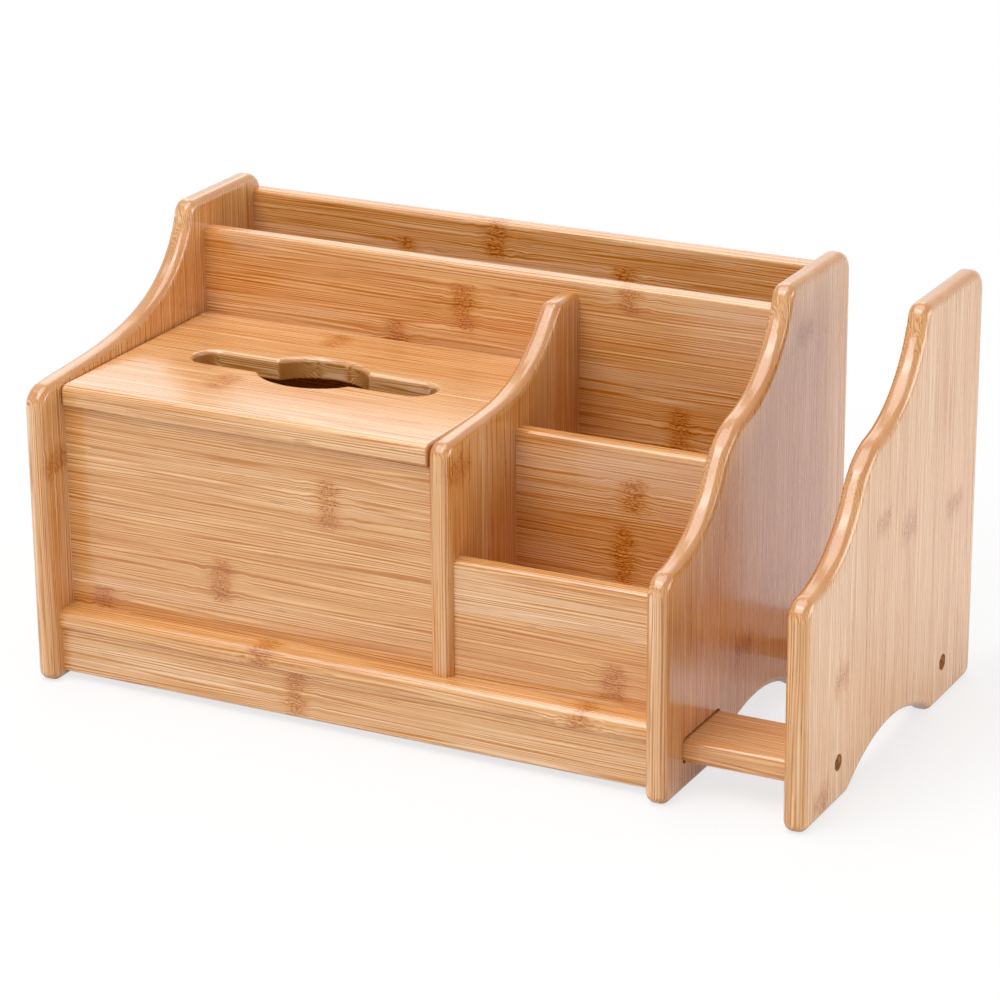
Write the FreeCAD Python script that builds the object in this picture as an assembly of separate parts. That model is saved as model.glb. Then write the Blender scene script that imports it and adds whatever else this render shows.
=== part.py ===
import FreeCAD, Part
import math
import os

# Bamboo desk organiser with a lidded tissue compartment, letter rack, two
# trays and a pull-out book end on two sliding rails.
# Millimetres. While the pieces are drawn, x starts at the outer face of the
# left side panel, y at the front edges of the side panels and z at the table.
# Every shape is moved at the end so that the origin is the middle of the
# footprint, on the table.

V = FreeCAD.Vector

# ---- stock ----------------------------------------------------------------
panel_t = 12.0            # side panels, divider, end panel, lid, rails
board_t = 10.0            # base, apron, fronts, partitions, back

# ---- overall sizes --------------------------------------------------------
depth = 230.0
panel_height = 228.0
tissue_bay = 219.0        # clear width for the tissue pack
tray_bay = 116.0          # clear width of the two trays
book_gap = 62.0           # side panel to end panel as drawn

left_inner_x = panel_t
divider_x = left_inner_x + tissue_bay
tray_x = divider_x + panel_t
right_panel_x = tray_x + tray_bay
right_outer_x = right_panel_x + panel_t
end_panel_x = right_outer_x + book_gap
overall_width = end_panel_x + panel_t

# ---- side panel outlines --------------------------------------------------
edge_round = 4.5          # rounding along every panel outline
sweep_r = 69.0            # concave sweeps of the stepped panels
low_step_z = 121.5        # lowest point of the lower sweep
mid_step_z = 175.4        # lowest point of the upper sweep
low_sweep_y = 6.3         # where the lower sweep is level
mid_sweep_y = 83.2        # where the upper sweep is level
front_corner_r = 12.0
shoulder_r = 41.0         # convex shoulder between the two sweeps
top_corner_r = 8.0
rear_corner_r = 12.0
foot_corner_r = 6.5
arch_end_r = 10.0
arch_half = 57.0          # half the width of the arch between the feet
arch_rise = 17.0

left_front_z = 163.9      # top front corner of the left panel
left_sweep = ((40.8, 172.5), (136.8, 158.3), (153.9, panel_height))

divider_y = 16.0          # front edge of the divider
divider_low_z = 164.3
divider_top_z = 204.0
divider_sweep = ((84.4, 170.2), (104.4, 159.6), (143.3, divider_top_z))
divider_corner_r = 8.0
divider_top_r = 7.0

# ---- boards ---------------------------------------------------------------
base_z = 30.0
base_top = base_z + board_t
nose_y = 6.7              # front of the base, proud of the apron
nose_top_r = 5.0
nose_under_r = 1.5
apron_y = 9.0
apron_bottom = 4.0
front_y = 21.0            # front faces of the tissue front and the tray front
tray_front_top = 103.0
middle_y = 91.2
middle_top = 151.0
rear_y = 165.7
rear_top = 210.8
back_y = depth - board_t
back_top = 219.2
board_edge_r = 2.5
seam_edge_r = 1.0         # top of the tissue front, under the lid

# ---- lid ------------------------------------------------------------------
lid_seat_gap = 0.5
tissue_front_top = 151.0
lid_z = tissue_front_top + lid_seat_gap
lid_front_y = 17.5
lid_end_gap = 0.35
lid_top_r = 4.0           # front edge, above
lid_under_r = 2.0         # front edge, below
lid_end_r = 1.8
pivot_y = 158.2
pivot_z = lid_z + panel_t / 2
lid_heel_r = 7.0          # rear edge, round about the pivot
pin_d = 5.0
pin_bore_d = 5.16
pin_in_panel = 7.0
pin_in_lid = 6.0
pin_end_gap = 1.0

slot_len = 145.0
slot_w = 21.0
bulge_half_x = 30.5
bulge_half_y = 23.5
cusp_r = 3.0
slot_overcut = 1.0
slot_top_r = 2.5
slot_bottom_r = 1.0
slot_mid_x = left_inner_x + tissue_bay / 2
slot_mid_y = 94.0

# ---- pull-out rails -------------------------------------------------------
rail_w = 44.0
rail_inset = 43.5         # rail centre line from the panel edge, front and rear
rail_z = 16.5
rail_edge_r = 2.5
rail_len = 349.0
rail_x = end_panel_x - rail_len
rail_slot_w = 45.6
rail_slot_bottom = 15.5
rail_slot_top = 29.5
rail_slot_r = 3.0
track_w = 5.0             # long track milled in each rail for its guide screw
track_slack = 0.5         # spare length at each end of the track
track_end_flat = 0.2
guide_x = 303.0           # guide screws, under the base
close_travel = 61.5
open_travel = 150.0

tie_bar_w = 22.0
tie_bar_t = 10.0
tie_bar_inset = 4.0

# ---- hardware -------------------------------------------------------------
guide_shank_d = 4.0
guide_head_d = 9.0
guide_head_t = 3.0
guide_in_base = 8.0
washer_d = 13.0
washer_t = 1.0
washer_gap = 0.3

end_screw_d = 4.0
end_screw_head_d = 8.0
end_screw_head_t = 3.0
end_screw_sink = 4.5
end_screw_bore_d = 8.8
end_screw_len = 34.0

tie_screw_d = 3.5
tie_screw_head_d = 7.0
tie_screw_head_t = 2.4
tie_screw_len = 18.0
tie_screw_spread = 24.0

cross_span = 4.6          # cross recess in the screw heads
cross_w = 1.1
cross_depth = 1.6
head_rounding = 0.45      # of the height of a pan head

dowel_d = 6.0
dowel_len = 20.0
dowel_in_panel = 8.0
dowel_chamfer = 0.7
base_dowel_y = (35.0, 90.0, 145.0, 200.0)
back_dowel_z = (65.0, 130.0, 195.0)
rear_dowel_z = (65.0, 125.0, 185.0)
tissue_dowel_z = (60.0, 130.0)
tray_dowel_z = (55.0, 90.0)
middle_dowel_z = (60.0, 130.0)
apron_dowel_z = (11.0, 23.0)
divider_foot_dowel_y = (52.0, 125.0)
divider_rear_dowel_z = (80.0, 175.0)

LIFT = 0.01               # overshoot of cutting tools past a face


def box(x0, x1, y0, y1, z0, z1):
    return Part.makeBox(x1 - x0, y1 - y0, z1 - z0, V(x0, y0, z0))


def rod(d, start, direction, length):
    return Part.makeCylinder(d / 2, length, start, direction)


def edge_dir(edge):
    span = edge.Vertexes[-1].Point - edge.Vertexes[0].Point
    return span.normalize() if span.Length > 0 else V(0, 0, 0)


def edges_along(shape, axis, test):
    """Straight edges along an axis whose midpoint passes the test."""
    picked = []
    for edge in shape.Edges:
        straight = isinstance(edge.Curve, (Part.Line, Part.LineSegment))
        if straight and abs(edge_dir(edge).dot(axis)) > 0.999:
            if test(edge.CenterOfMass):
                picked.append(edge)
    return picked


def edges_on_plane(shape, axis, position):
    """Edges that lie wholly in the plane where axis equals position."""
    picked = []
    for edge in shape.Edges:
        bounds = edge.BoundBox
        low = getattr(bounds, axis + "Min")
        high = getattr(bounds, axis + "Max")
        if abs(low - position) < 1e-3 and abs(high - position) < 1e-3:
            picked.append(edge)
    return picked


def near(a, b, tol=0.05):
    return abs(a - b) < tol


# ---- panel outlines, as wires in the y-z plane ------------------------------
def line(a, b):
    return Part.LineSegment(V(0, *a), V(0, *b)).toShape()


def arc(a, mid, b):
    return Part.Arc(V(0, *a), V(0, *mid), V(0, *b)).toShape()


def bezier(start, poles):
    curve = Part.BezierCurve()
    curve.setPoles([V(0, *start)] + [V(0, *pole) for pole in poles])
    return curve.toShape()


def toward(a, b, distance):
    """Point at a distance from a on the way to b."""
    part = distance / math.dist(a, b)
    return (a[0] + (b[0] - a[0]) * part, a[1] + (b[1] - a[1]) * part)


def arc_about(centre, a, b):
    """Arc from a to b about a centre, the short way round."""
    halfway = ((a[0] + b[0]) / 2, (a[1] + b[1]) / 2)
    return arc(a, toward(centre, halfway, math.dist(centre, a)), b)


def arch_points():
    middle = depth / 2
    return ((middle + arch_half, 0.0), (middle, arch_rise),
            (middle - arch_half, 0.0))


def bottom_and_rear(top_start):
    """Rear edge, feet and arch, from the top edge round to the front foot."""
    rear_arch, crown, front_arch = arch_points()
    return [line(top_start, (depth, panel_height)),
            line((depth, panel_height), (depth, 0.0)),
            line((depth, 0.0), rear_arch),
            arc(rear_arch, crown, front_arch),
            line(front_arch, (0.0, 0.0))]


def front_corner_centre(low):
    """Centre of the corner that touches the front edge and the low sweep."""
    reach = sweep_r + front_corner_r
    drop = math.sqrt(reach ** 2 - (low[0] - front_corner_r) ** 2)
    return (front_corner_r, low[1] - drop)


def shoulder_centre(low, high):
    """Centre of the convex shoulder that touches both sweeps."""
    half = math.dist(low, high) / 2
    offset = math.sqrt((sweep_r + shoulder_r) ** 2 - half ** 2)
    across_y = (high[1] - low[1]) / (2 * half)
    across_z = (low[0] - high[0]) / (2 * half)
    return ((low[0] + high[0]) / 2 + across_y * offset,
            (low[1] + high[1]) / 2 + across_z * offset)


def stepped_outline():
    """Front edge, corner, sweep, shoulder and sweep, all running smoothly."""
    low = (low_sweep_y, low_step_z + sweep_r)
    high = (mid_sweep_y, mid_step_z + sweep_r)
    corner = front_corner_centre(low)
    shoulder = shoulder_centre(low, high)
    front = (0.0, corner[1])
    step = toward(low, corner, sweep_r)
    climb = toward(low, shoulder, sweep_r)
    ledge = toward(high, shoulder, sweep_r)
    reach = math.sqrt(sweep_r ** 2 - (high[1] - panel_height) ** 2)
    crest = (mid_sweep_y + reach, panel_height)
    edges = [line((0.0, 0.0), front),
             arc_about(corner, front, step),
             arc_about(low, step, climb),
             arc_about(shoulder, climb, ledge),
             arc_about(high, ledge, crest)]
    return edges + bottom_and_rear(crest), [(crest, top_corner_r)]


def swept_outline():
    start = (0.0, left_front_z)
    edges = [line((0.0, 0.0), start), bezier(start, left_sweep)]
    corners = [(start, front_corner_r), (left_sweep[-1], top_corner_r)]
    return edges + bottom_and_rear(left_sweep[-1]), corners


def foot_corners():
    rear_arch, _, front_arch = arch_points()
    return [((0.0, 0.0), foot_corner_r),
            ((depth, 0.0), foot_corner_r),
            (rear_arch, arch_end_r),
            (front_arch, arch_end_r),
            ((depth, panel_height), rear_corner_r)]


def rounded_panel(edges, corners, x, thickness, round_faces):
    """Extrude an outline along x, round its corners, then its two faces."""
    wire = Part.Wire(Part.__sortEdges__(edges))
    solid = Part.Face(wire).extrude(V(thickness, 0, 0))
    for (y, z), radius in corners:
        picked = edges_along(solid, V(1, 0, 0),
                             lambda p: near(p.y, y) and near(p.z, z))
        solid = solid.makeFillet(radius, picked)
    for face_x in round_faces:
        rim = edges_on_plane(solid, "X", face_x)
        solid = solid.makeFillet(edge_round, rim)
    solid.translate(V(x, 0, 0))
    return solid


# ---- joinery ----------------------------------------------------------------
def dowel(start, direction):
    """Glued dowel, half its length either side of the joint, with soft ends."""
    body = rod(dowel_d, start, direction, dowel_len)
    rims = [e for e in body.Edges if isinstance(e.Curve, Part.Circle)]
    return body.makeChamfer(dowel_chamfer, rims)


def side_dowels(x_face, into_panel, spots):
    """Dowels along x across a panel face; into_panel is -1 or +1."""
    start_x = x_face + into_panel * dowel_in_panel
    return [dowel(V(start_x, y, z), V(-into_panel, 0, 0)) for y, z in spots]


def column(board_y, heights):
    """Dowel spots up the middle of a board's thickness."""
    return [(board_y + board_t / 2, z) for z in heights]


def all_dowels():
    base_spots = [(y, base_z + board_t / 2) for y in base_dowel_y]
    back_spots = column(back_y, back_dowel_z)
    rear_spots = column(rear_y, rear_dowel_z)
    tissue_spots = column(front_y, tissue_dowel_z)
    tray_spots = column(front_y, tray_dowel_z)
    middle_spots = column(middle_y, middle_dowel_z)
    apron_spots = column(apron_y, apron_dowel_z)
    outer = base_spots + back_spots + rear_spots + apron_spots
    return (side_dowels(left_inner_x, -1, outer + tissue_spots)
            + side_dowels(right_panel_x, 1, outer + tray_spots + middle_spots)
            + side_dowels(divider_x, 1, tissue_spots)
            + side_dowels(tray_x, -1, tray_spots + middle_spots)
            + divider_dowels())


def divider_dowels():
    """Dowels that stand the divider on the base and hold it to the rear."""
    mid_x = divider_x + panel_t / 2
    down = [dowel(V(mid_x, y, base_top + dowel_len - dowel_in_panel),
                  V(0, 0, -1)) for y in divider_foot_dowel_y]
    back = [dowel(V(mid_x, rear_y + dowel_in_panel, z), V(0, -1, 0))
            for z in divider_rear_dowel_z]
    return down + back


def socket_tool(dowels):
    """Dowel bores as full cylinders, so the soft ends leave glue room."""
    bores = []
    for item in dowels:
        axis = max(item.Faces, key=lambda f: f.Area).Surface
        ends = item.BoundBox
        centre = V(ends.Center)
        direction = axis.Axis
        start = centre - direction * (dowel_len / 2)
        bores.append(rod(dowel_d, start, direction, dowel_len))
    return Part.makeCompound(bores)


# ---- boards -------------------------------------------------------------------
def top_rounded_board(x0, x1, y0, z0, z1, radius=board_edge_r):
    board = box(x0, x1, y0, y0 + board_t, z0, z1)
    tops = edges_along(board, V(1, 0, 0), lambda p: near(p.z, z1))
    return board.makeFillet(radius, tops)


def rounded_front(board, y, top_r, under_r):
    """Round the upper and the lower front edge of a level board."""
    middle_z = board.BoundBox.Center.z
    upper = edges_along(board, V(1, 0, 0),
                        lambda p: near(p.y, y) and p.z > middle_z)
    board = board.makeFillet(top_r, upper)
    lower = edges_along(board, V(1, 0, 0),
                        lambda p: near(p.y, y) and p.z < middle_z - under_r)
    return board.makeFillet(under_r, lower)


def make_base():
    board = box(left_inner_x, right_panel_x, nose_y, depth, base_z, base_top)
    return rounded_front(board, nose_y, nose_top_r, nose_under_r)


def make_apron():
    apron = box(left_inner_x, right_panel_x, apron_y, apron_y + board_t,
                apron_bottom, base_z)
    low = edges_along(apron, V(1, 0, 0), lambda p: near(p.z, apron_bottom))
    return apron.makeFillet(board_edge_r, low)


# ---- side panels ----------------------------------------------------------------
def make_left_panel():
    edges, corners = swept_outline()
    corners = corners + foot_corners()
    return rounded_panel(edges, corners, 0.0, panel_t, (0.0, panel_t))


def rail_slot_tool(y_mid):
    """Rounded rectangle through the right side panel."""
    tool = box(right_panel_x - LIFT, right_outer_x + LIFT,
               y_mid - rail_slot_w / 2, y_mid + rail_slot_w / 2,
               rail_slot_bottom, rail_slot_top)
    return tool.makeFillet(rail_slot_r, edges_along(tool, V(1, 0, 0),
                                                    lambda p: True))


def make_right_panel():
    edges, corners = stepped_outline()
    corners = corners + foot_corners()
    panel = rounded_panel(edges, corners, right_panel_x, panel_t,
                          (0.0, panel_t))
    for y_mid in rail_lines():
        panel = panel.cut(rail_slot_tool(y_mid))
    return panel


def make_end_panel():
    edges, corners = stepped_outline()
    corners = corners + foot_corners()
    panel = rounded_panel(edges, corners, end_panel_x, panel_t,
                          (0.0, panel_t))
    for y_mid in rail_lines():
        hole = rod(end_screw_d, V(end_panel_x - LIFT, y_mid, rail_mid_z()),
                   V(1, 0, 0), panel_t)
        bore = rod(end_screw_bore_d,
                   V(overall_width - end_screw_sink, y_mid, rail_mid_z()),
                   V(1, 0, 0), end_screw_sink + LIFT)
        panel = panel.cut(hole).cut(bore)
    return panel


def make_divider():
    low = (divider_y, divider_low_z)
    foot = (divider_y, base_top)
    heel = (rear_y, base_top)
    crest = divider_sweep[-1]
    top_end = (rear_y, divider_top_z)
    edges = [line(foot, low), bezier(low, divider_sweep),
             line(crest, top_end), line(top_end, heel), line(heel, foot)]
    corners = [(low, divider_corner_r), (crest, divider_top_r)]
    wire = Part.Wire(Part.__sortEdges__(edges))
    solid = Part.Face(wire).extrude(V(panel_t, 0, 0))
    for (y, z), radius in corners:
        picked = edges_along(solid, V(1, 0, 0),
                             lambda p: near(p.y, y) and near(p.z, z))
        solid = solid.makeFillet(radius, picked)
    rim = []
    for face_x in (0.0, panel_t):
        for edge in edges_on_plane(solid, "X", face_x):
            middle = edge.CenterOfMass
            glued = near(middle.y, rear_y) or near(middle.z, base_top)
            if not glued:
                rim.append(edge)
    solid = solid.makeFillet(edge_round, rim)
    solid.translate(V(divider_x, 0, 0))
    return solid


# ---- lid ------------------------------------------------------------------------
def lid_profile():
    """Lid cross-section: flat board with a heel that is round at the pivot."""
    top = lid_z + panel_t
    half = panel_t / 2
    heel_y = pivot_y + math.sqrt(lid_heel_r ** 2 - half ** 2)
    edges = [line((lid_front_y, lid_z), (lid_front_y, top)),
             line((lid_front_y, top), (heel_y, top)),
             arc((heel_y, top), (pivot_y + lid_heel_r, pivot_z),
                 (heel_y, lid_z)),
             line((heel_y, lid_z), (lid_front_y, lid_z))]
    return Part.Wire(Part.__sortEdges__(edges))


def slot_outline(half_w, straight, cusp_x):
    """Round-ended slot in the x-y plane with an oval bulge at its middle."""
    def spot(x, y):
        return V(slot_mid_x + x, slot_mid_y + y, 0)

    def side(x0, x1, y):
        return Part.LineSegment(spot(x0, y), spot(x1, y)).toShape()

    def round_end(sign):
        return Part.Arc(spot(sign * straight, -half_w),
                        spot(sign * (straight + half_w), 0),
                        spot(sign * straight, half_w)).toShape()

    oval = Part.Ellipse(spot(0, 0), bulge_half_x, bulge_half_y)
    cusp_angle = math.acos(cusp_x / bulge_half_x)
    edges = [oval.toShape(cusp_angle, math.pi - cusp_angle),
             oval.toShape(math.pi + cusp_angle, 2 * math.pi - cusp_angle)]
    for sign in (-1, 1):
        edges.append(round_end(sign))
        edges.append(side(sign * cusp_x, sign * straight, half_w))
        edges.append(side(sign * cusp_x, sign * straight, -half_w))
    return Part.Wire(Part.__sortEdges__(edges))


def tissue_slot_tool():
    half_w = slot_w / 2
    cusp_x = bulge_half_x * math.sqrt(1 - (half_w / bulge_half_y) ** 2)
    outline = slot_outline(half_w, slot_len / 2 - half_w, cusp_x)
    tool = Part.Face(outline).extrude(V(0, 0, panel_t + 2 * slot_overcut))
    cusps = edges_along(tool, V(0, 0, 1),
                        lambda p: near(abs(p.x - slot_mid_x), cusp_x))
    tool = tool.makeFillet(cusp_r, cusps)
    tool.translate(V(0, 0, lid_z - slot_overcut))
    return tool


def slot_rim(lid, z):
    """Edges of the tissue slot on the lid face at height z."""
    rim = []
    for edge in edges_on_plane(lid, "Z", z):
        middle = edge.CenterOfMass
        within_x = abs(middle.x - slot_mid_x) < slot_len / 2
        within_y = abs(middle.y - slot_mid_y) < bulge_half_y
        if within_x and within_y:
            rim.append(edge)
    return rim


def make_lid():
    x0 = left_inner_x + lid_end_gap
    x1 = divider_x - lid_end_gap
    lid = Part.Face(lid_profile()).extrude(V(x1 - x0, 0, 0))
    lid = rounded_front(lid, lid_front_y, lid_top_r, lid_under_r)
    for face_x in (0.0, x1 - x0):
        lid = lid.makeFillet(lid_end_r, edges_on_plane(lid, "X", face_x))
    lid.translate(V(x0, 0, 0))
    lid = lid.cut(tissue_slot_tool())
    lid = lid.makeFillet(slot_top_r, slot_rim(lid, lid_z + panel_t))
    lid = lid.makeFillet(slot_bottom_r, slot_rim(lid, lid_z))
    for start_x, direction in ((x0 - LIFT, 1), (x1 + LIFT, -1)):
        lid = lid.cut(rod(pin_bore_d, V(start_x, pivot_y, pivot_z),
                          V(direction, 0, 0), pin_in_lid + pin_end_gap))
    return lid


def make_pivot_pins():
    length = pin_in_panel + lid_end_gap + pin_in_lid
    left = rod(pin_d, V(left_inner_x - pin_in_panel, pivot_y, pivot_z),
               V(1, 0, 0), length)
    right = rod(pin_d, V(divider_x + pin_in_panel, pivot_y, pivot_z),
                V(-1, 0, 0), length)
    return [left, right]


# ---- pull-out frame -------------------------------------------------------------
def rail_lines():
    return (rail_inset, depth - rail_inset)


def rail_mid_z():
    return rail_z + panel_t / 2


def track_ends():
    """Track in the rails, long enough for the whole travel of the screws."""
    slack = guide_shank_d / 2 + track_slack
    return (guide_x - open_travel - slack, guide_x + close_travel + slack)


def make_rail(y_mid):
    rail = box(rail_x, end_panel_x, y_mid - rail_w / 2, y_mid + rail_w / 2,
               rail_z, rail_z + panel_t)
    rail = rail.makeFillet(rail_edge_r,
                           edges_along(rail, V(1, 0, 0), lambda p: True))
    track_x0, track_x1 = track_ends()
    track = box(track_x0, track_x1, y_mid - track_w / 2, y_mid + track_w / 2,
                rail_z - LIFT, rail_z + panel_t + LIFT)
    track = track.makeFillet((track_w - track_end_flat) / 2,
                             edges_along(track, V(0, 0, 1), lambda p: True))
    return rail.cut(track)


def tie_bar_x():
    return rail_x + tie_bar_inset


def make_tie_bar():
    front, rear = rail_lines()
    bar = box(tie_bar_x(), tie_bar_x() + tie_bar_w,
              front - rail_w / 2, rear + rail_w / 2,
              rail_z - tie_bar_t, rail_z)
    return bar.makeFillet(board_edge_r,
                          edges_on_plane(bar, "Z", rail_z - tie_bar_t))


# ---- hardware -------------------------------------------------------------------
def cross_tool(face, axis, side_a, side_b):
    """Cross recess sunk along axis from the point on the head face."""
    tool = None
    for long_dir, short_dir in ((side_a, side_b), (side_b, side_a)):
        corner = (face - long_dir * (cross_span / 2)
                  - short_dir * (cross_w / 2) - axis * LIFT)
        size = (long_dir * cross_span + short_dir * cross_w
                + axis * (cross_depth + LIFT))
        low = V(min(corner.x, corner.x + size.x),
                min(corner.y, corner.y + size.y),
                min(corner.z, corner.z + size.z))
        arm = Part.makeBox(abs(size.x), abs(size.y), abs(size.z), low)
        tool = arm if tool is None else tool.fuse(arm)
    return tool


def pan_screw(face, axis, side_a, side_b, head_d, head_t, shank_d, length):
    """Pan head screw: face is the middle of the head, axis points inwards."""
    head = rod(head_d, face, axis, head_t)
    rim = [e for e in head.Edges if isinstance(e.Curve, Part.Circle)
           and near((e.Curve.Center - face).dot(axis), 0.0)]
    head = head.makeFillet(head_t * head_rounding, rim)
    shank = rod(shank_d, face + axis * head_t, axis, length)
    return head.fuse(shank).cut(cross_tool(face, axis, side_a, side_b))


def make_end_screws():
    screws = []
    for y_mid in rail_lines():
        face = V(overall_width - end_screw_sink + end_screw_head_t,
                 y_mid, rail_mid_z())
        screws.append(pan_screw(face, V(-1, 0, 0), V(0, 1, 0), V(0, 0, 1),
                                end_screw_head_d, end_screw_head_t,
                                end_screw_d, end_screw_len))
    return screws


def make_guide_screws():
    head_top = rail_z - washer_gap - washer_t
    shank = base_z + guide_in_base - head_top
    screws = []
    for y_mid in rail_lines():
        face = V(guide_x, y_mid, head_top - guide_head_t)
        screws.append(pan_screw(face, V(0, 0, 1), V(1, 0, 0), V(0, 1, 0),
                                guide_head_d, guide_head_t,
                                guide_shank_d, shank))
    return screws


def make_guide_washers():
    washers = []
    for y_mid in rail_lines():
        foot = V(guide_x, y_mid, rail_z - washer_gap - washer_t)
        ring = rod(washer_d, foot, V(0, 0, 1), washer_t)
        washers.append(ring.cut(rod(guide_shank_d, foot, V(0, 0, 1),
                                    washer_t)))
    return washers


def tie_screw_spots():
    mid_x = tie_bar_x() + tie_bar_w / 2
    return [(mid_x, y_mid + side * tie_screw_spread / 2)
            for y_mid in rail_lines() for side in (-1, 1)]


def make_tie_screws():
    """Countersunk screws, heads flush with the underside of the tie bar."""
    screws = []
    for x, y in tie_screw_spots():
        face = V(x, y, rail_z - tie_bar_t)
        head = Part.makeCone(tie_screw_head_d / 2, tie_screw_d / 2,
                             tie_screw_head_t, face, V(0, 0, 1))
        shank = rod(tie_screw_d, face + V(0, 0, tie_screw_head_t),
                    V(0, 0, 1), tie_screw_len - tie_screw_head_t)
        recess = cross_tool(face, V(0, 0, 1), V(1, 0, 0), V(0, 1, 0))
        screws.append(head.fuse(shank).cut(recess))
    return screws


def solid_forms(screws):
    """Screws with their cross recess filled, for boring their holes."""
    plain = []
    for screw in screws:
        bounds = screw.BoundBox
        plug = min(bounds.XLength, bounds.YLength) / 2
        centre = V(bounds.Center.x, bounds.Center.y, bounds.ZMin)
        plain.append(screw.fuse(rod(plug, centre, V(0, 0, 1), cross_depth)))
    return plain


# ---- assembly -------------------------------------------------------------------
def cut_all(shape, tools):
    return shape.cut(Part.makeCompound(tools))


def build():
    dowels = all_dowels()
    sockets = socket_tool(dowels)
    pins = make_pivot_pins()
    guide_screws = make_guide_screws()
    tie_screws = make_tie_screws()
    end_screws = make_end_screws()
    front_line, rear_line = rail_lines()
    tie_bores = solid_forms(tie_screws)

    parts = {
        "left_side_panel": cut_all(make_left_panel().cut(sockets), pins),
        "right_side_panel": make_right_panel().cut(sockets),
        "divider_panel": cut_all(make_divider().cut(sockets), pins),
        "base_board": cut_all(make_base().cut(sockets), guide_screws),
        "front_apron": make_apron().cut(sockets),
        "tissue_front_panel": top_rounded_board(
            left_inner_x, divider_x, front_y, base_top,
            tissue_front_top, seam_edge_r).cut(sockets),
        "tray_front_panel": top_rounded_board(
            tray_x, right_panel_x, front_y, base_top,
            tray_front_top).cut(sockets),
        "middle_partition": top_rounded_board(
            tray_x, right_panel_x, middle_y, base_top,
            middle_top).cut(sockets),
        "rear_partition": top_rounded_board(
            left_inner_x, right_panel_x, rear_y, base_top,
            rear_top).cut(sockets),
        "back_board": top_rounded_board(
            left_inner_x, right_panel_x, back_y, base_top,
            back_top).cut(sockets),
        "joint_dowels": Part.makeCompound(dowels),
        "tissue_lid": make_lid(),
        "lid_pivot_pins": Part.makeCompound(pins),
        "end_panel": make_end_panel(),
        "front_slide_rail": cut_all(make_rail(front_line),
                                    tie_bores + end_screws),
        "rear_slide_rail": cut_all(make_rail(rear_line),
                                   tie_bores + end_screws),
        "slide_tie_bar": cut_all(make_tie_bar(), tie_bores),
        "end_panel_screws": Part.makeCompound(end_screws),
        "guide_screws": Part.makeCompound(guide_screws),
        "guide_washers": Part.makeCompound(make_guide_washers()),
        "tie_bar_screws": Part.makeCompound(tie_screws),
    }
    return parts


def export(parts):
    os.makedirs("parts", exist_ok=True)
    for name, shape in parts.items():
        shape.translate(V(-overall_width / 2, -depth / 2, 0))
        shape.exportStep("parts/" + name + ".step")


export(build())
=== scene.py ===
"""Looks of the bamboo desk organiser: lacquered bamboo, plated steel, light and camera.

Lengths are in metres in the part's frame and colours are linear."""
import math

import bpy
from mathutils import Matrix, Vector

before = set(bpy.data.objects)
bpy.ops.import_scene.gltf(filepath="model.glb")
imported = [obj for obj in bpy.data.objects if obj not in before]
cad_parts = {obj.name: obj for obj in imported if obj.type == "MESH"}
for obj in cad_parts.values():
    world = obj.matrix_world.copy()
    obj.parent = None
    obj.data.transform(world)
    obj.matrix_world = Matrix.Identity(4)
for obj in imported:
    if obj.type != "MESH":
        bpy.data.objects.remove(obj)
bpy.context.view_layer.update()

# ---- camera, solved from the photo's vertical edges and right angles ------------
CAMERA_AT = Vector((0.8535, -1.6532, 0.7861))
CAMERA_AZIMUTH = math.radians(27.342)
CAMERA_ELEVATION = math.radians(20.216)
CAMERA_ROLL = math.radians(-0.458)
CAMERA_LENS = 135.23
CAMERA_SENSOR = 36.0
CAMERA_CLIP_END = 20.0

# ---- light and floor ------------------------------------------------------------
AMBIENT = 0.36            # strength of the room on the object
BACKDROP = 1.0            # strength of what the camera sees behind it: plain white
WHITE = (1.0, 1.0, 1.0, 1.0)
FLOOR_PAINT = (0.87, 0.87, 0.87, 1.0)
FLOOR_HALF = 4.0
FLOOR_GLOW = 0.75         # share of the floor that is plain white to the camera
FLOOR_REFLECTED = 0.40    # how much of that white is in reflections of the floor
GLOW_NEAR = 0.35          # distance from the middle where the floor starts to whiten
GLOW_FAR = 0.60           # distance where it is plain white to the camera
LAMP_TARGET = Vector((0.0, 0.0, 0.09))
LAMPS = (                 # name, place, width, height, watts
    ("key", (-0.55, -1.45, 2.05), 1.3, 1.3, 20.5),
    ("overhead", (-0.30, -0.35, 2.20), 1.8, 1.8, 29.5),
    ("back", (-0.97, 1.66, 1.54), 1.2, 1.2, 6.0),
    ("side", (2.1, 0.6, 0.55), 1.4, 1.0, 15.5),
)

# ---- bamboo colours; shade, gleam and tints multiply the colour under them -------
AMBER = (0.63, 0.212, 0.010, 1.0)
HONEY = (0.725, 0.360, 0.120, 1.0)
CREAM = (0.845, 0.545, 0.33, 1.0)
PALE = (0.84, 0.60, 0.43, 1.0)
FIBRE_SHADE = (0.76, 0.50, 0.02, 1.0)
FIBRE_GLEAM = (1.22, 1.48, 1.98, 1.0)
END_TINT = (0.77, 0.65, 0.45, 1.0)
EDGE_TINT = (0.93, 0.86, 0.70, 1.0)
PORE = (0.34, 0.125, 0.012, 1.0)
MARK_CORE = (0.68, 0.42, 0.02, 1.0)
MARK_HALO = (0.88, 0.74, 0.42, 1.0)

# ---- bamboo grain: noises as (scale along the fibres, scale across them, detail) ----
MARK_WOBBLE = (90.0, 230.0, 2.0)
MARK_FLECKS = (640.0, 1500.0, 0.5)
DRIFT = (7.0, 24.0, 1.5)
CURL = (120.0, 190.0, 1.0)
BANDS = (3.0, 60.0, 1.0)
STREAKS = (9.0, 260.0, 1.0)
THREADS = (16.0, 760.0, 0.0)
WAVER = (6.0, 210.0, 1.0)
DEPTH = (14.0, 620.0, 0.0)
LINES = (12.0, 1050.0, 0.0)
DASHES = (55.0, 1300.0, 0.0)

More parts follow.
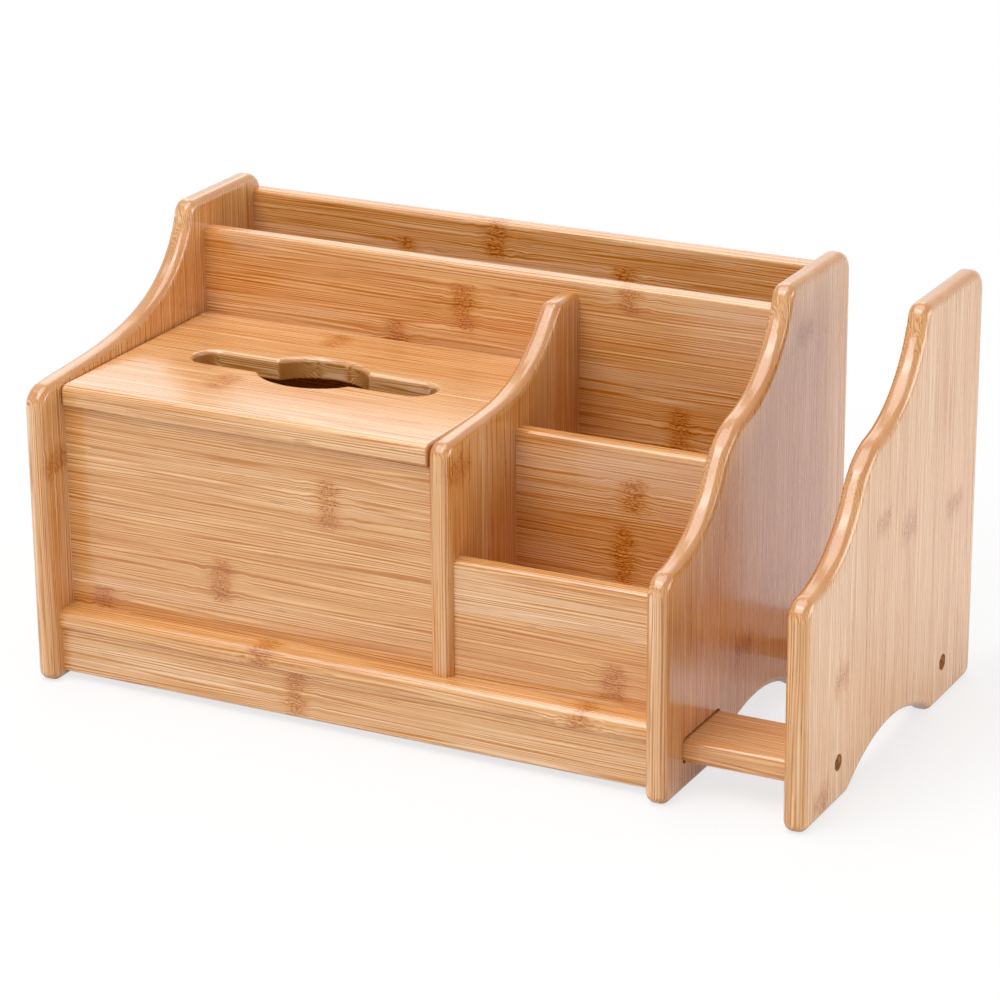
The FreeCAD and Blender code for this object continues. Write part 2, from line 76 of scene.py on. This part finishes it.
DOWEL_SEED = 20.0         # the boards have theirs in BOARDS
STRIP_WIDTH = 0.025       # glued strips, across the grain
LAYER = 0.006             # glued layers, through the board
DRIFT_SHIFT = 0.0010      # how far the fibres wander
CURL_SHIFT = 0.0036       # how far they curl beside a node mark
FIBRES_PER_METRE = 660.0
FIBRE_LEAN = 0.8          # sideways run of a fibre per metre of depth
FIBRE_WAVER = 4.2         # in spacings between fibres
BAND_WARMTH = 0.60
STREAK_WARMTH = 0.24
STRIP_WARMTH = 0.20
FIBRE_CONTRAST = 1.4
THREAD_CONTRAST = 0.45
LINE_DARKNESS = 0.42
GRAIN_LEVEL = 0.54        # place between shade (0) and gleam (1), before the noises
END_CALM = 0.82           # share of the grain that end grain loses

# ---- limits of the smooth ramps, (none below, all above) ---------------------------
DEPTH_LIMITS = (0.30, 0.70)
LINE_LIMITS = (0.58, 0.70)
DOT_LIMITS = (0.15, 0.45)
DASH_LIMITS = (0.73, 0.81)
END_LIMITS = (0.20, 0.70)     # of the normal's share along the grain
EDGE_LIMITS = (0.86, 0.995)   # of the normal's largest share
FLECK_LIMITS = (0.48, 0.56)
MARK_SIDES = (0.72, 1.15)     # of the mark's half width
MARK_COLUMN = (0.0020, 0.0080)    # these three are distances from the mark's middle
MARK_CLOUD = (0.0010, 0.0130)
MARK_BEND = (0.0040, 0.0320)
MARK_WOBBLE_ALONG = 0.014     # how far a mark's outline wanders
MARK_WOBBLE_ACROSS = 0.006

# ---- pores, surface and lacquer ----------------------------------------------------
PORES = (90.0, 1000.0)        # scales along and across the fibres
PORE_SCATTER = 0.7
PORE_SHARE = (0.19, 0.02)     # added on end grain, and everywhere
PIT_DEPTH = (0.35, 0.02)      # the same
DASH_SHARE = 0.55
ROUGHNESS = 0.32
FIBRE_ROUGHNESS = 0.16
EDGE_POLISH = 0.05
END_ROUGHNESS = 0.06
FIBRE_HEIGHT = 0.35
STREAK_HEIGHT = 0.30
RELIEF_STRENGTH = 0.30
RELIEF_DEPTH = 0.00015
BAMBOO_IOR = 1.5
LACQUER_ROUGHNESS = 0.15
LACQUER_IOR = 1.55

# ---- metal ---------------------------------------------------------------------------
ZINC, ZINC_TARNISH, ZINC_ROUGHNESS = (0.62, 0.50, 0.30, 1.0), (0.30, 0.22, 0.12, 1.0), 0.28
STEEL, STEEL_TARNISH, STEEL_ROUGHNESS = (0.60, 0.60, 0.62, 1.0), (0.38, 0.37, 0.36, 1.0), 0.25
TARNISH_SCALE = 700.0
TARNISH_DETAIL = 3.0
TARNISH_LIMITS = (0.35, 0.70)
TARNISH_ROUGHNESS = 0.18


class Graph:
    """Short calls that add nodes to one tree and join them."""

    def __init__(self, tree):
        self.tree = tree

    def add(self, kind, **settings):
        node = self.tree.nodes.new(kind)
        for name, value in settings.items():
            setattr(node, name, value)
        return node

    def feed(self, socket, value):
        if isinstance(value, bpy.types.NodeSocket):
            self.tree.links.new(value, socket)
        elif value is not None:
            socket.default_value = value

    def math(self, operation, a, b=None, c=None, clamp=False):
        node = self.add("ShaderNodeMath", operation=operation, use_clamp=clamp)
        for socket, value in zip(node.inputs, (a, b, c)):
            self.feed(socket, value)
        return node.outputs[0]

    def ramp(self, value, limits):
        """0 below the first limit, 1 above the second, smooth between them."""
        low, high = limits
        node = self.add("ShaderNodeMapRange", interpolation_type="SMOOTHSTEP")
        self.feed(node.inputs["Value"], value)
        node.inputs["From Min"].default_value = low
        node.inputs["From Max"].default_value = high
        return node.outputs["Result"]

    def spread(self, value, amount):
        """A noise value moved to be about zero, times amount."""
        return self.math("MULTIPLY", self.math("SUBTRACT", value, 0.5), amount)

    def vector(self, x, y, z):
        node = self.add("ShaderNodeCombineXYZ")
        for socket, value in zip(node.inputs, (x, y, z)):
            self.feed(socket, value)
        return node.outputs[0]

    def stretched(self, place, scale):
        """Coordinates in which a noise becomes streaks that run along the grain."""
        along, across, through = place
        long_scale, fine_scale = scale
        return self.vector(self.math("MULTIPLY", along, long_scale),
                           self.math("MULTIPLY", across, fine_scale),
                           self.math("MULTIPLY", through, fine_scale))

    def streaks(self, place, recipe):
        """A noise drawn out along the grain, from its two scales and its detail."""
        *scale, detail = recipe
        vector = self.stretched(place, scale)
        node = self.add("ShaderNodeTexNoise", noise_dimensions="3D")
        self.feed(node.inputs["Vector"], vector)
        node.inputs["Scale"].default_value = 1.0
        node.inputs["Detail"].default_value = detail
        return node.outputs[0]

    def fading(self, value, limits):
        """1 below the first limit, 0 above the second."""
        return self.math("SUBTRACT", 1.0, self.ramp(value, limits))

    def mix(self, factor, a, b, blend="MIX"):
        node = self.add("ShaderNodeMix", data_type="RGBA", blend_type=blend)
        self.feed(node.inputs["Factor"], factor)
        self.feed(node.inputs[6], a)
        self.feed(node.inputs[7], b)
        return node.outputs[2]

    def tint(self, factor, colour, tint):
        """The colour, multiplied by the tint where factor is 1."""
        return self.mix(factor, colour, self.mix(1.0, colour, tint, "MULTIPLY"))


def new_group(name, inputs, outputs):
    tree = bpy.data.node_groups.new(name, "ShaderNodeTree")
    for label in inputs:
        tree.interface.new_socket(label, in_out="INPUT", socket_type="NodeSocketFloat")
    for label, kind in outputs:
        tree.interface.new_socket(label, in_out="OUTPUT", socket_type=kind)
    graph = Graph(tree)
    source = graph.add("NodeGroupInput").outputs
    sink = graph.add("NodeGroupOutput").inputs
    return graph, source, sink, tree


def node_mark_group():
    """The ring that a bamboo stem has between two lengths, as it shows in one strip."""
    names = ("Along", "Across", "Through", "At Along", "At Across", "Half Width")
    graph, source, sink, tree = new_group(
        "bamboo_node_mark", names,
        (("Core", "NodeSocketFloat"), ("Halo", "NodeSocketFloat"), ("Fan", "NodeSocketFloat")))
    along, across = source["Along"], source["Across"]
    place = (along, across, source["Through"])
    wobble = graph.streaks(place, MARK_WOBBLE)
    offset = graph.math("SUBTRACT", along, source["At Along"])
    shift = graph.math("ADD", offset, graph.spread(wobble, MARK_WOBBLE_ALONG))
    distance = graph.math("ABSOLUTE", shift)
    side = graph.math("SUBTRACT", across, source["At Across"])
    side = graph.math("ADD", side, graph.spread(wobble, MARK_WOBBLE_ACROSS))
    side = graph.math("ABSOLUTE", side)
    side_share = graph.math("DIVIDE", side, source["Half Width"])
    inside = graph.fading(side_share, MARK_SIDES)
    column = graph.fading(distance, MARK_COLUMN)
    cloud = graph.fading(distance, MARK_CLOUD)
    flecks = graph.ramp(graph.streaks(place, MARK_FLECKS), FLECK_LIMITS)
    graph.feed(sink["Core"], graph.math(
        "MULTIPLY", graph.math("MULTIPLY", column, flecks), inside))
    graph.feed(sink["Halo"], graph.math("MULTIPLY", cloud, inside))
    bent = graph.fading(distance, MARK_BEND)
    graph.feed(sink["Fan"], graph.math("MULTIPLY", bent, inside))
    return tree


def mostly_at_end(graph, value, end, amounts):
    """The value times an amount for end grain and a small one for everywhere."""
    at_end, everywhere = amounts
    return graph.math("MULTIPLY", value, graph.math(
        "ADD", graph.math("MULTIPLY", end, at_end), everywhere))


def bamboo_group():
    """Colour, roughness and relief of lacquered bamboo from a place in the board."""
    names = ("Along", "Across", "Through", "End", "Edge", "Core", "Halo", "Fan", "Pale", "Seed")
    graph, source, sink, tree = new_group(
        "lacquered_bamboo", names,
        (("Color", "NodeSocketColor"), ("Roughness", "NodeSocketFloat"),
         ("Height", "NodeSocketFloat")))
    along = graph.math("ADD", source["Along"], source["Seed"])
    through, end = source["Through"], source["End"]
    straight = (along, source["Across"], through)
    drift = graph.streaks(straight, DRIFT)
    curl = graph.streaks(straight, CURL)
    across = graph.math("ADD", source["Across"], graph.spread(drift, DRIFT_SHIFT))
    across = graph.math("ADD", across, graph.math(
        "MULTIPLY", source["Fan"], graph.spread(curl, CURL_SHIFT)))
    place = (along, across, through)

    bands = graph.streaks(place, BANDS)
    streaks = graph.streaks(place, STREAKS)
    threads = graph.streaks(place, THREADS)
    waver = graph.streaks(place, WAVER)
    turns = graph.math("ADD", across, graph.math("MULTIPLY", through, FIBRE_LEAN))
    turns = graph.math("ADD", graph.math("MULTIPLY", turns, FIBRES_PER_METRE),
                       graph.spread(waver, FIBRE_WAVER))
    fibres = graph.math("SINE", graph.math("MULTIPLY", turns, math.tau))
    fibres = graph.math("MULTIPLY_ADD", fibres, 0.5, 0.5)
    depth = graph.ramp(graph.streaks(place, DEPTH), DEPTH_LIMITS)

    strip = graph.math("FLOOR", graph.math("DIVIDE", source["Across"], STRIP_WIDTH))
    layer = graph.math("FLOOR", graph.math("DIVIDE", through, LAYER))
    white = graph.add("ShaderNodeTexWhiteNoise", noise_dimensions="3D")
    graph.feed(white.inputs["Vector"], graph.vector(strip, layer, source["Seed"]))
    tone = white.outputs["Value"]

    warmth = graph.math("ADD", graph.spread(bands, BAND_WARMTH),
                        graph.spread(streaks, STREAK_WARMTH))
    warmth = graph.math("ADD", warmth, graph.spread(tone, STRIP_WARMTH))
    ramp = graph.add("ShaderNodeValToRGB")
    graph.feed(ramp.inputs[0], graph.math("ADD", warmth, 0.5, clamp=True))
    ramp.color_ramp.elements[0].color = AMBER
    ramp.color_ramp.elements[1].color = CREAM
    middle = ramp.color_ramp.elements.new(0.50)
    middle.color = HONEY
    colour = graph.mix(source["Pale"], ramp.outputs["Color"], PALE)

    lines = graph.ramp(graph.streaks(place, LINES), LINE_LIMITS)
    grain = graph.math("MULTIPLY", graph.spread(fibres, FIBRE_CONTRAST), depth)
    grain = graph.math("ADD", graph.spread(threads, THREAD_CONTRAST), grain)
    grain = graph.math("SUBTRACT", grain, graph.math("MULTIPLY", lines, LINE_DARKNESS))
    grain = graph.math("ADD", grain, GRAIN_LEVEL, clamp=True)
    shaded = graph.mix(1.0, colour, FIBRE_SHADE, "MULTIPLY")
    gleaming = graph.mix(1.0, colour, FIBRE_GLEAM, "MULTIPLY")
    calm = graph.math("MULTIPLY", end, END_CALM)
    colour = graph.mix(calm, graph.mix(grain, shaded, gleaming), colour)

    pores = graph.add("ShaderNodeTexVoronoi", voronoi_dimensions="3D", feature="F1")
    graph.feed(pores.inputs["Vector"], graph.stretched(place, PORES))
    pores.inputs["Scale"].default_value = 1.0
    pores.inputs["Randomness"].default_value = PORE_SCATTER
    dots = graph.fading(pores.outputs["Distance"], DOT_LIMITS)
    colour = graph.tint(end, colour, END_TINT)
    colour = graph.tint(source["Edge"], colour, EDGE_TINT)
    colour = graph.mix(mostly_at_end(graph, dots, end, PORE_SHARE), colour, PORE)
    dashes = graph.ramp(graph.streaks(place, DASHES), DASH_LIMITS)
    dashes = graph.math("MULTIPLY", dashes, DASH_SHARE)
    dashes = graph.math("MULTIPLY", dashes, graph.math("SUBTRACT", 1.0, end))
    colour = graph.mix(dashes, colour, PORE)
    colour = graph.tint(source["Halo"], colour, MARK_HALO)
    colour = graph.tint(source["Core"], colour, MARK_CORE)
    graph.feed(sink["Color"], colour)

    rough = graph.math("ADD", ROUGHNESS, graph.spread(fibres, FIBRE_ROUGHNESS))
    rough = graph.math("SUBTRACT", rough, graph.math("MULTIPLY", source["Edge"], EDGE_POLISH))
    graph.feed(sink["Roughness"], graph.math(
        "ADD", rough, graph.math("MULTIPLY", end, END_ROUGHNESS)))
    height = graph.math("ADD", graph.math("MULTIPLY", fibres, FIBRE_HEIGHT),
                        graph.math("MULTIPLY", streaks, STREAK_HEIGHT))
    height = graph.math("MULTIPLY", height, graph.math("SUBTRACT", 1.0, calm))
    pits = mostly_at_end(graph, dots, end, PIT_DEPTH)
    graph.feed(sink["Height"], graph.math("SUBTRACT", height, pits))
    return tree


MARK_GROUP = node_mark_group()
BAMBOO_GROUP = bamboo_group()


def use_group(graph, tree, values):
    node = graph.add("ShaderNodeGroup", node_tree=tree)
    for name, value in values.items():
        graph.feed(node.inputs[name], value)
    return node.outputs


def new_material(name):
    material = bpy.data.materials.new(name)
    material.use_nodes = True
    material.node_tree.nodes.clear()
    return material, Graph(material.node_tree)


def bamboo(name, grain, face, seed, marks=(), pale=0.0):
    """Bamboo whose fibres run along grain, with the strips side by side along face.

    Each mark is (place along, place across, half width)."""
    material, graph = new_material(name)
    place = graph.add("ShaderNodeTexCoord")
    split = graph.add("ShaderNodeSeparateXYZ")
    graph.feed(split.inputs[0], place.outputs["Object"])
    turn = graph.add("ShaderNodeSeparateXYZ")
    graph.feed(turn.inputs[0], place.outputs["Normal"])
    thick = ({"X", "Y", "Z"} - {grain, face}).pop()
    along, across, through = (split.outputs[axis] for axis in (grain, face, thick))
    end = graph.ramp(graph.math("ABSOLUTE", turn.outputs[grain]), END_LIMITS)
    squareness = graph.math("ABSOLUTE", turn.outputs[0])
    for side in turn.outputs[1:]:
        squareness = graph.math("MAXIMUM", squareness, graph.math("ABSOLUTE", side))
    edge = graph.fading(squareness, EDGE_LIMITS)

    core, halo, fan = 0.0, 0.0, 0.0
    for at_along, at_across, half in marks:
        mark = use_group(graph, MARK_GROUP, {
            "Along": along, "Across": across, "Through": through,
            "At Along": at_along, "At Across": at_across, "Half Width": half})
        core = graph.math("MAXIMUM", core, mark["Core"])
        halo = graph.math("MAXIMUM", halo, mark["Halo"])
        fan = graph.math("MAXIMUM", fan, mark["Fan"])

    look = use_group(graph, BAMBOO_GROUP, {
        "Along": along, "Across": across, "Through": through, "End": end, "Edge": edge,
        "Core": core, "Halo": halo, "Fan": fan, "Pale": pale, "Seed": seed})
    relief = graph.add("ShaderNodeBump")
    relief.inputs["Strength"].default_value = RELIEF_STRENGTH
    relief.inputs["Distance"].default_value = RELIEF_DEPTH
    graph.feed(relief.inputs["Height"], look["Height"])
    shader = graph.add("ShaderNodeBsdfPrincipled")
    shader.inputs["IOR"].default_value = BAMBOO_IOR
    shader.inputs["Coat Weight"].default_value = 1.0
    shader.inputs["Coat Roughness"].default_value = LACQUER_ROUGHNESS
    shader.inputs["Coat IOR"].default_value = LACQUER_IOR
    graph.feed(shader.inputs["Base Color"], look["Color"])
    graph.feed(shader.inputs["Roughness"], look["Roughness"])
    graph.feed(shader.inputs["Normal"], relief.outputs["Normal"])
    out = graph.add("ShaderNodeOutputMaterial")
    graph.feed(out.inputs["Surface"], shader.outputs[0])
    return material


def dress(node, material):
    """Puts the material on every slot of a CAD node."""
    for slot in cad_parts[node].material_slots:
        slot.material = material


# ---- bamboo boards: grain axis, face axis, seed, node marks and paleness ------------
BOARDS = {
    "left_side_panel": ("Z", "Y", 1.7, ((0.122, -0.103, 0.010), (0.062, 0.040, 0.012)), 0.06),
    "right_side_panel": ("Z", "Y", 4.1, ((0.200, 0.054, 0.011), (0.052, -0.020, 0.012)), 0.12),
    "divider_panel": ("Z", "Y", 7.9, ((0.150, -0.085, 0.012),), 0.0),
    "end_panel": ("Z", "Y", 3.3, ((0.066, -0.070, 0.009), (0.010, -0.093, 0.010),
                                  (0.131, -0.018, 0.010), (0.117, 0.017, 0.011),
                                  (0.108, 0.080, 0.012)), 0.10),
    "base_board": ("X", "Y", 5.2, ((-0.087, -0.104, 0.010), (0.098, -0.104, 0.010),
                                   (0.020, 0.085, 0.012)), 0.0),
    "front_apron": ("X", "Z", 2.6, ((-0.067, 0.018, 0.013),), 0.0),
    "tissue_front_panel": ("X", "Z", 9.4, ((-0.052, 0.121, 0.014), (-0.1175, 0.068, 0.013),
                                           (-0.191, 0.045, 0.008)), 0.0),
    "tray_front_panel": ("X", "Z", 6.8, ((0.110, 0.052, 0.010),), 0.0),
    "middle_partition": ("X", "Z", 8.5, ((0.0875, 0.124, 0.010), (0.0825, 0.091, 0.017)), 0.0),
    "rear_partition": ("X", "Z", 11.3, ((-0.0483, 0.186, 0.015), (-0.0897, 0.166, 0.008),
                                        (0.050, 0.204, 0.008), (0.080, 0.136, 0.012)), 0.0),
    "back_board": ("X", "Z", 13.7, ((-0.057, 0.210, 0.012), (-0.113, 0.196, 0.008),
                                    (0.0215, 0.196, 0.008), (0.120, 0.130, 0.012),
                                    (-0.010, 0.090, 0.012)), 0.0),
    "tissue_lid": ("X", "Y", 10.6, ((-0.135, -0.054, 0.013), (-0.116, 0.032, 0.012)), 0.10),
    "front_slide_rail": ("X", "Y", 12.2, (), 0.0),
    "rear_slide_rail": ("X", "Y", 14.9, (), 0.0),
    "slide_tie_bar": ("Y", "X", 15.5, (), 0.0),
}


def dress_boards():
    for node, (grain, face, seed, marks, pale) in BOARDS.items():
        dress(node, bamboo(node + "_bamboo_look", grain, face, seed, marks, pale))


# ---- hardware and dowels ---------------------------------------------------------
def worn_metal(name, colour, tarnish, roughness):
    """Plated steel with a cloudy film."""
    material, graph = new_material(name)
    place = graph.add("ShaderNodeTexCoord")
    cloud = graph.add("ShaderNodeTexNoise")
    graph.feed(cloud.inputs["Vector"], place.outputs["Object"])
    cloud.inputs["Scale"].default_value = TARNISH_SCALE
    cloud.inputs["Detail"].default_value = TARNISH_DETAIL
    film = graph.ramp(cloud.outputs[0], TARNISH_LIMITS)
    shader = graph.add("ShaderNodeBsdfPrincipled")
    shader.inputs["Metallic"].default_value = 1.0
    graph.feed(shader.inputs["Base Color"], graph.mix(film, colour, tarnish))
    graph.feed(shader.inputs["Roughness"], graph.math(
        "ADD", graph.math("MULTIPLY", film, TARNISH_ROUGHNESS), roughness))
    out = graph.add("ShaderNodeOutputMaterial")
    graph.feed(out.inputs["Surface"], shader.outputs[0])
    return material


def dress_hardware():
    zinc = worn_metal("yellow_zinc_look", ZINC, ZINC_TARNISH, ZINC_ROUGHNESS)
    steel = worn_metal("steel_look", STEEL, STEEL_TARNISH, STEEL_ROUGHNESS)
    for node in ("end_panel_screws", "tie_bar_screws", "guide_screws"):
        dress(node, zinc)
    for node in ("guide_washers", "lid_pivot_pins"):
        dress(node, steel)
    dress("joint_dowels", bamboo("dowel_look", "X", "Y", DOWEL_SEED))


# ---- floor, light and camera -------------------------------------------------------
def seen_directly(graph, reflected):
    """1 for rays from the camera and through glass, and a share for reflected ones."""
    path = graph.add("ShaderNodeLightPath")
    glossy = graph.math("MULTIPLY", path.outputs["Is Glossy Ray"], reflected)
    direct = graph.math("MAXIMUM", path.outputs["Is Camera Ray"],
                        path.outputs["Is Transmission Ray"])
    return graph.math("MAXIMUM", direct, glossy)


def make_floor():
    corners = [(sx * FLOOR_HALF, sy * FLOOR_HALF, 0.0)
               for sx, sy in ((-1, -1), (1, -1), (1, 1), (-1, 1))]
    mesh = bpy.data.meshes.new("floor")
    mesh.from_pydata(corners, [], [(0, 1, 2, 3)])
    floor = bpy.data.objects.new("floor", mesh)
    bpy.context.scene.collection.objects.link(floor)
    material, graph = new_material("floor_look")
    matt = graph.add("ShaderNodeBsdfDiffuse")
    matt.inputs["Color"].default_value = FLOOR_PAINT
    glow = graph.add("ShaderNodeEmission")
    glow.inputs["Strength"].default_value = BACKDROP
    blend = graph.add("ShaderNodeMixShader")
    place = graph.add("ShaderNodeTexCoord")
    reach = graph.add("ShaderNodeVectorMath", operation="LENGTH")
    graph.feed(reach.inputs[0], place.outputs["Object"])
    far = graph.ramp(reach.outputs["Value"], (GLOW_NEAR, GLOW_FAR))
    share = graph.math("ADD", FLOOR_GLOW, graph.math("MULTIPLY", far, 1.0 - FLOOR_GLOW))
    graph.feed(blend.inputs[0], graph.math(
        "MULTIPLY", seen_directly(graph, FLOOR_REFLECTED), share))
    graph.feed(blend.inputs[1], matt.outputs[0])
    graph.feed(blend.inputs[2], glow.outputs[0])
    out = graph.add("ShaderNodeOutputMaterial")
    graph.feed(out.inputs["Surface"], blend.outputs[0])
    mesh.materials.append(material)


def make_world():
    world = bpy.data.worlds.new("studio")
    bpy.context.scene.world = world
    world.use_nodes = True
    tree = world.node_tree
    tree.nodes.clear()
    graph = Graph(tree)
    room = graph.add("ShaderNodeBackground")
    room.inputs["Strength"].default_value = AMBIENT
    backdrop = graph.add("ShaderNodeBackground")
    backdrop.inputs["Strength"].default_value = BACKDROP
    for background in (room, backdrop):
        background.inputs["Color"].default_value = WHITE
    blend = graph.add("ShaderNodeMixShader")
    graph.feed(blend.inputs[0], seen_directly(graph, 1.0))
    graph.feed(blend.inputs[1], room.outputs[0])
    graph.feed(blend.inputs[2], backdrop.outputs[0])
    out = graph.add("ShaderNodeOutputWorld")
    graph.feed(out.inputs["Surface"], blend.outputs[0])


def soft_box(name, place, width, height, power):
    lamp = bpy.data.lights.new(name, "AREA")
    lamp.shape = "RECTANGLE"
    lamp.size = width
    lamp.size_y = height
    lamp.energy = power
    holder = bpy.data.objects.new(name, lamp)
    holder.location = place
    holder.rotation_euler = (LAMP_TARGET - Vector(place)).to_track_quat("-Z", "Y").to_euler()
    bpy.context.scene.collection.objects.link(holder)


def make_camera():
    a, e, r = CAMERA_AZIMUTH, CAMERA_ELEVATION, CAMERA_ROLL
    back = Vector((math.sin(a) * math.cos(e), -math.cos(a) * math.cos(e), math.sin(e)))
    level = Vector((math.cos(a), math.sin(a), 0.0))
    rise = back.cross(level)
    right = math.cos(r) * level + math.sin(r) * rise
    up = math.cos(r) * rise - math.sin(r) * level
    data = bpy.data.cameras.new("camera")
    data.lens = CAMERA_LENS
    data.sensor_width = CAMERA_SENSOR
    data.clip_end = CAMERA_CLIP_END
    camera = bpy.data.objects.new("camera", data)
    camera.matrix_world = Matrix.Translation(CAMERA_AT) @ Matrix(
        (right, up, back)).transposed().to_4x4()
    bpy.context.scene.collection.objects.link(camera)
    bpy.context.scene.camera = camera


dress_boards()
dress_hardware()
make_floor()
make_world()
for lamp in LAMPS:
    soft_box(*lamp)
make_camera()
bpy.context.scene.view_settings.view_transform = "Standard"
